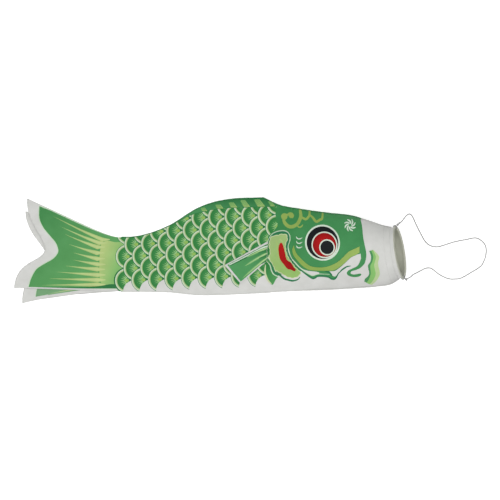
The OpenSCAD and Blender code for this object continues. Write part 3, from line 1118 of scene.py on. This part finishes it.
def laid_cord(name, light):
    """Soft laid polyester cord with fine fibres along its strands."""
    material, tree, shader = new_material(name, sheen=0.35)
    place = cloth_place(tree)
    fibre = noise(tree, place, 900.0, 3.0)
    soil = noise(tree, object_place(tree), 60.0)
    shade = tuple(c * 0.62 for c in light)
    colour = mixed(tree, ranged(tree, fibre, 0.0, 1.0), light, shade)
    colour = mixed(tree, ranged(tree, soil, 0.0, 0.3), colour, (0.5, 0.48, 0.44), "MULTIPLY")
    finish_surface(tree, shader, colour, ranged(tree, fibre, 0.65, 0.85),
                   [(fibre, 0.00015), (thread_waves(tree, place, 0.0006), 0.00008)])
    return material


def drawn_wire():
    """Drawn steel wire with fine lines and a little dull oxide."""
    material, tree, shader = new_material("drawn_steel_wire")
    shader.inputs["Metallic"].default_value = 1.0
    place = object_place(tree)
    lines = noise(tree, place, 2500.0, 3.0)
    dull = noise(tree, place, 80.0, 4.0)
    colour = mixed(tree, ranged(tree, dull, 0.0, 0.5), (0.56, 0.56, 0.57), (0.36, 0.34, 0.31))
    finish_surface(tree, shader, colour, ranged(tree, dull, 0.25, 0.5), [(lines, 0.00005)])
    return material


def sleeve_plastic():
    """Moulded tube with a faint scuff."""
    material, tree, shader = new_material("sleeve_plastic")
    scuff = noise(tree, object_place(tree), 700.0, 5.0)
    colour = mixed(tree, ranged(tree, scuff, 0.0, 0.4), (0.62, 0.62, 0.6), (0.45, 0.45, 0.44))
    finish_surface(tree, shader, colour, ranged(tree, scuff, 0.35, 0.6), [(scuff, 0.00005)])
    return material


printed_cloth = polyester("printed_polyester")
printed_cloth_inside = polyester("printed_polyester_inside", bleed=0.84)
sewing_thread = laid_cord("sewing_thread", ink(212, 212, 208))
bridle_cord_finish = laid_cord("laid_bridle_cord", ink(183, 183, 182))

# ---- pieces: side cloths and pectoral fins

FIN_ROOT = FIN_CORNERS[0][0]
FIN_REACH = 60
FIN_GAP = 0.7
FIN_ABOVE_TABLE = 0.12
FIN_EDGE_STEPS = 24
FIN_GRID = 2.2


def fin_edge():
    """The fin's outline, with each side divided evenly."""
    corners = [np.array(p, float) for p in FIN_CORNERS]
    return [tuple(p + (q - p) * k / FIN_EDGE_STEPS)
            for p, q in zip(corners, corners[1:] + corners[:1]) for k in range(FIN_EDGE_STEPS)]


def fin_place(s, y, side):
    """Fins are sewn at their root; the upper one lies on the side cloth and lifts at its free end."""
    free = np.clip((FIN_ROOT - s) / FIN_REACH, 0, 1)
    if side > 0:
        under = side_cloth_place(s, y, 1)[..., 2]
        z = under + FIN_GAP + free * (0.8 + 1.1 * np.sin(s / 9 + y / 21) ** 2) + 0.5 * free**2
    else:
        z = np.full_like(s, FIN_ABOVE_TABLE)
    return np.stack([s, y, z], axis=-1)


def add_fin(name, side):
    edge = fin_edge()
    low, high = np.min(FIN_CORNERS, axis=0) - 2, np.max(FIN_CORNERS, axis=0) + 2
    xs, ys = (np.arange(a, b, FIN_GRID) for a, b in zip(low, high))
    grid = np.array([(x, y) for x in xs for y in ys])
    grid = [tuple(p) for p in grid[inside(grid, edge)]]
    fin = printed_sheet(name, edge, fin_layers(), grid, lambda s, y: fin_place(s, y, side),
                        lambda s, y: np.stack([s, y], axis=-1))
    finish_cloth(fin, side)
    return fin


right_cloth = add_side_cloth("right_side_cloth", 1, margin=2.4)
left_cloth = add_side_cloth("left_side_cloth", -1, margin=6)
right_fin = add_fin("right_fin_cloth", 1)
left_fin = add_fin("left_fin_cloth", -1)

# ---- pieces: mouth hem and seams

HEM_WIDTH = 15
HEM_STEPS = 120
# Last rows of a hem section that lie outside the hoop and over its edge
HEM_OUTSIDE_ROW = 4
HEM_EDGE_ROW = 9
HEM_OVER_HOOP = 0.35
HEM_INSET = 1.1
HEM_STITCHES_BACK = HEM_WIDTH - 1.5
BEAD_STEPS = 10


def hoop_point(around, out, ahead):
    """Point by the hoop: around from the back over the top, out from its axis, ahead along it."""
    return HOOP_CENTRE + (HOOP_BACK * cos(around) + HOOP_TOP * sin(around)) * out + HOOP_FRONT * ahead


def hem_section(around):
    """One section of the hem: over the hoop from the outside and back along the inside of the tube."""
    pucker = 0.18 * sin(17 * around) + 0.12 * sin(29 * around + 1)
    side, v = (1 if sin(around) >= 0 else -1), cos(around)
    outer = [hoop_point(around, HOOP_R + HEM_OVER_HOOP, ahead) for ahead in (-6.5, -4.8, -3.4)]
    bead = []
    for k in range(BEAD_STEPS + 1):
        a = pi * (0.62 - 1.24 * k / BEAD_STEPS)
        bead.append(hoop_point(around, HOOP_R + BEAD_R * sin(a), BEAD_R * cos(a)))
    turned = [hoop_point(around, HOOP_R - 0.9 + pucker * 0.5, ahead) for ahead in (-3.4, -5)]
    for back in (1.5, 4, 7, 10, 12.5, HEM_WIDTH - 0.4, HEM_WIDTH):
        inset = HEM_INSET + pucker * (back / HEM_WIDTH)
        turned.append(Vector(wall(TUBE_END - back, v, side, inset=inset)))
    return outer + bead + turned


def hem_ink(row):
    if row <= HEM_OUTSIDE_ROW:
        return WHITE_CLOTH
    # Rows over the hoop's edge take the painted shade, darker than the white cloth.
    return HEM_BEAD_PAINTED_SHADE if row <= HEM_EDGE_ROW else HEM_INSIDE


def add_mouth_hem():
    points, uv = [], []
    for i in range(HEM_STEPS):
        around = 2 * pi * i / HEM_STEPS
        section = hem_section(around)
        travelled = 0
        for k, p in enumerate(section):
            travelled += (p - section[k - 1]).length if k else 0
            points.append(p)
            uv.append((travelled, HOOP_R * around))
    rows = len(section)
    hem = add_mesh("mouth_hem_cloth", points, grid_faces(HEM_STEPS, rows, rows_closed=True), uv)
    hem.data.materials.append(printed_cloth)
    dye_points(hem, [hem_ink(i % rows) for i in range(len(points))])
    thicken(hem)
    return hem


# Section of a turned seam: the two edges folded together, seen from its end
SEAM_SECTION = [(0, -0.5), (0.6, -0.62), (1.15, -0.5), (1.35, -0.22), (1.12, 0), (1.35, 0.22), (1.15, 0.5),
                (0.6, 0.62), (0, 0.5)]
SEAM_STEP = 2.5
HEAD_PRINT_END = 276


def seam_ink(s, v):
    """The seam takes the print of the edge it gathers up."""
    return DEEP_GREEN if v > 0 and s < HEAD_PRINT_END else WHITE_CLOTH


def add_seam(name, v):
    """Soft double ridge along the back (v is 1) or the belly (v is -1)."""
    places = np.arange(TUBE_START + 1, TUBE_END - 1, SEAM_STEP)
    points, uv = [], []
    for s in places:
        edge = wall(s, v, -1)
        for k, (out, up) in enumerate(SEAM_SECTION):
            wave = 0.12 * sin(s / 2.9 + k)
            points.append((edge[0], edge[1] + v * (out - 0.2 + wave * out), edge[2] + up))
            uv.append((s, k))
    m = len(SEAM_SECTION)
    faces = grid_faces(len(places), m, columns_closed=True)
    faces += [tuple(range(m))[::-1], tuple(range(len(points) - m, len(points)))]
    seam = add_mesh(name, points, faces, uv)
    if v > 0:
        seam.data.flip_normals()
    seam.data.materials.append(printed_cloth)
    dye_points(seam, [seam_ink(s, v) for s in places for _ in SEAM_SECTION])
    return seam


mouth_hem = add_mouth_hem()
back_seam = add_seam("back_seam_fold", 1)
belly_seam = add_seam("belly_seam_fold", -1)

# ---- pieces: stitching

THREAD_R = 0.25
# Height of a stitch above the cloth, from one end to the other
STITCH_RISE = [-0.25, 0.12, 0.22, 0.12, -0.25]
HEM_STITCH_STEPS = 180
FIN_STITCH_ROWS = (101.6, 103.2)


def stitch(a, b, away):
    """One machine stitch: a short tube that rises from the cloth and dives back into it."""
    last = len(STITCH_RISE) - 1
    path = [tuple(a.lerp(b, k / last) + away * rise) for k, rise in enumerate(STITCH_RISE)]
    return tube(path, THREAD_R, sides=6, taper=0.4)


def stitched_line(points, ways, pitch=3.0, length=2.2):
    """Stitches along a line of points; ways are the directions away from the cloth at those points."""
    parts, left = [], 0.0
    for a, b, way in zip(points, points[1:], ways):
        a, b = Vector(a), Vector(b)
        span = (b - a).length
        while left < span:
            start = a.lerp(b, left / span)
            parts.append(stitch(start, start + (b - a).normalized() * length, Vector(way).normalized()))
            left += pitch
        left -= span
    return joined(parts)


def add_hem_stitching():
    s = TUBE_END - HEM_STITCHES_BACK
    middle = Vector(wall(s, 0, 1)).lerp(Vector(wall(s, 0, -1)), 0.5)
    turns = [2 * pi * k / HEM_STITCH_STEPS for k in range(HEM_STITCH_STEPS + 1)]
    points = [Vector(wall(s, cos(around), 1 if sin(around) >= 0 else -1)) for around in turns]
    return add_mesh("hem_stitches", *stitched_line(points, [p - middle for p in points]))


def add_fin_stitching(name, side):
    """Two rows through the fin's root."""
    rows = []
    for s in FIN_STITCH_ROWS:
        y = np.arange(15 - (FIN_ROOT - s) * 0.5, -18.5, -1.0)
        points = fin_place(np.full_like(y, s), y, side)
        points[:, 2] += 0.02 * side
        rows.append(stitched_line(points.tolist(), [(0, 0, side)] * len(y), pitch=2.6, length=1.9))
    return add_mesh(name, *joined(rows))


hem_stitches = add_hem_stitching()
right_fin_stitches = add_fin_stitching("right_fin_stitches", 1)
left_fin_stitches = add_fin_stitching("left_fin_stitches", -1)
for piece in (hem_stitches, right_fin_stitches, left_fin_stitches):
    piece.data.materials.append(sewing_thread)

# ---- pieces: tie loops on the hoop

TIE_STEPS = 36


def add_tie_loop(name, side):
    """Ring of cord round the hoop's hem, at the back (side 1) or the belly (side -1)."""
    centre = HOOP_CENTRE + side * HOOP_R * HOOP_BACK
    ring_r = BEAD_R + CORD_R
    path = []
    for k in range(TIE_STEPS):
        a = 2 * pi * k / TIE_STEPS
        path.append(tuple(centre + HOOP_BACK * (side * ring_r * cos(a)) + HOOP_FRONT * (ring_r * sin(a))))
    return add_mesh(name, *cord_tube(path, closed=True))


tie_loops = [add_tie_loop("back_tie_cord", 1), add_tie_loop("belly_tie_cord", -1)]
for piece in [bridle, *knots, *tie_loops]:
    piece.data.materials.append(bridle_cord_finish)

# ---- finishes of the CAD nodes that stay

for name, finish in (("mouth_hoop", drawn_wire()), ("hoop_joining_tube", sleeve_plastic())):
    node_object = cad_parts[name]
    node_object.data.materials.clear()
    node_object.data.materials.append(finish)

# ---- who moves with what, in metres


def blend_over_fold(cloth):
    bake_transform(cloth)


def blend_over_root(fin):
    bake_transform(fin)


blend_over_fold(right_cloth)
blend_over_fold(left_cloth)
for piece in (back_seam, belly_seam, mouth_hem, hem_stitches, right_fin_stitches, left_fin_stitches,
              *tie_loops):
    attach(piece, "fish_body")
blend_over_root(right_fin)
blend_over_root(left_fin)
for piece in (bridle, *knots):
    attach(piece, "bridle")

STANDS_FOR = [
    (right_cloth, "right_side_panel", "right_tail_flap"), (left_cloth, "left_side_panel", "left_tail_flap"),
    (right_fin, "right_pectoral_fin"), (left_fin, "left_pectoral_fin"), (back_seam, "back_seam"),
    (belly_seam, "belly_seam"), (mouth_hem, "mouth_hem"), (hem_stitches, "hem_stitching"),
    (right_fin_stitches, "right_fin_stitching"), (left_fin_stitches, "left_fin_stitching"),
    (tie_loops[0], "back_tie_loop"), (tie_loops[1], "belly_tie_loop"), (bridle, "bridle_cord"),
    (knots[0], "back_knot"), (knots[1], "belly_knot"),
]
for piece, *nodes in STANDS_FOR:
    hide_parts(*nodes)

# ---- floor and light, in metres and watts

FLOOR_HALF = 8.0
FLOOR_SHADE = 0.6
FLOOR_GLOW = 0.6
SURROUND = 0.3
LIGHT_TARGET = Vector((0.05, 0, 0))


def add_floor():
    half = FLOOR_HALF
    corners = [(-half, -half, 0), (half, -half, 0), (half, half, 0), (-half, half, 0)]
    mesh = bpy.data.meshes.new("floor")
    mesh.from_pydata(corners, [], [(0, 1, 2, 3)])
    floor = bpy.data.objects.new("floor", mesh)
    bpy.context.collection.objects.link(floor)
    material, tree, shader = new_material("pale_floor", roughness=0.8)
    shader.inputs["Base Color"].default_value = (FLOOR_SHADE, FLOOR_SHADE, FLOOR_SHADE, 1)
    shader.inputs["Emission Color"].default_value = (1, 1, 1, 1)
    shader.inputs["Emission Strength"].default_value = FLOOR_GLOW
    mesh.materials.append(material)


def add_soft_light(name, place, size, watts):
    data = bpy.data.lights.new(name, "AREA")
    data.shape = "DISK"
    data.size = size
    data.energy = watts
    light = bpy.data.objects.new(name, data)
    bpy.context.collection.objects.link(light)
    light.location = place
    light.rotation_euler = (LIGHT_TARGET - Vector(place)).to_track_quat("-Z", "Y").to_euler()


def add_surround():
    world = bpy.data.worlds.new("studio")
    world.use_nodes = True
    background = world.node_tree.nodes["Background"]
    background.inputs["Color"].default_value = (1, 1, 1, 1)
    background.inputs["Strength"].default_value = SURROUND
    bpy.context.scene.world = world


add_floor()
add_surround()
add_soft_light("key_light", place=(-0.3, -0.4, 2.2), size=2.4, watts=56)
add_soft_light("fill_light", place=(1.1, 0.7, 1.8), size=1.6, watts=10)
bpy.context.scene.view_settings.view_transform = "Standard"
